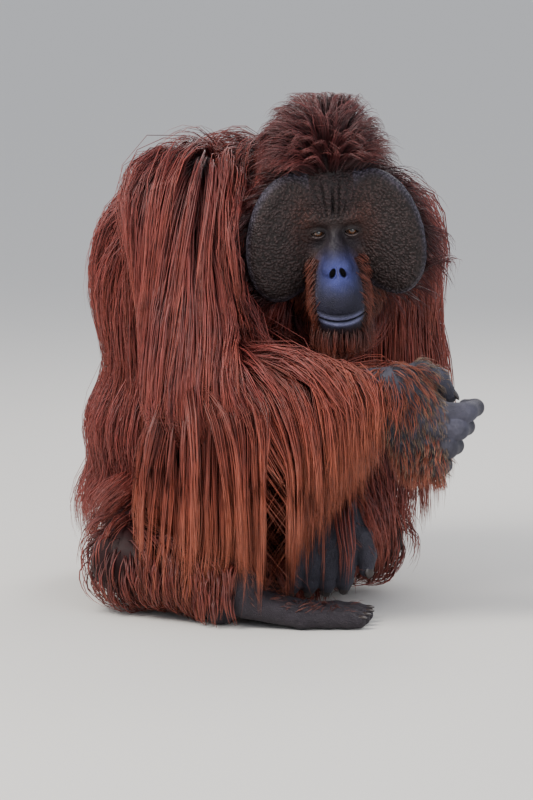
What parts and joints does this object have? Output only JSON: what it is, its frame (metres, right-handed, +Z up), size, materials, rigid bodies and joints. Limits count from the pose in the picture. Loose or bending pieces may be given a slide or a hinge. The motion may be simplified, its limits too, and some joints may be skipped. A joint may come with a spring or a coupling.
{
  "type": "orangutan",
  "caption": "Life-size still model of a seated flanged male orangutan with long red hair, broad cheek pads and the right forearm held across the chest.",
  "frame": {"origin": "on the floor, on the flat that the animal sits on, under the middle of its hips", "axes": "+Z up; -Y towards the viewer whom the face looks at; +X to that viewer's right, which is the side of the animal's left shoulder"},
  "size_m": [0.7529, 0.811, 0.921],
  "materials": {
    "coat": "long, coarse red-brown hair in loose locks",
    "skin": "bare, creased blue-grey skin, pebbled on the cheek pads",
    "eye": "wet, dark amber"
  },
  "bodies": {
    "root": {"head": "coat", "cheek_flange_right": "skin", "cheek_flange_left": "skin", "ear_right": "skin", "ear_left": "skin", "eye_right": "eye", "eye_left": "eye", "neck": "coat", "torso": "coat", "hips": "coat", "upper_arm_right": "coat", "upper_arm_left": "coat", "forearm_right": "coat", "forearm_left": "coat", "hand_right": "skin", "hand_left": "skin", "thigh_right": "coat", "thigh_left": "coat", "shin_right": "coat", "shin_left": "coat", "foot_right": "skin", "foot_left": "skin"}
  },
  "joints": []
}
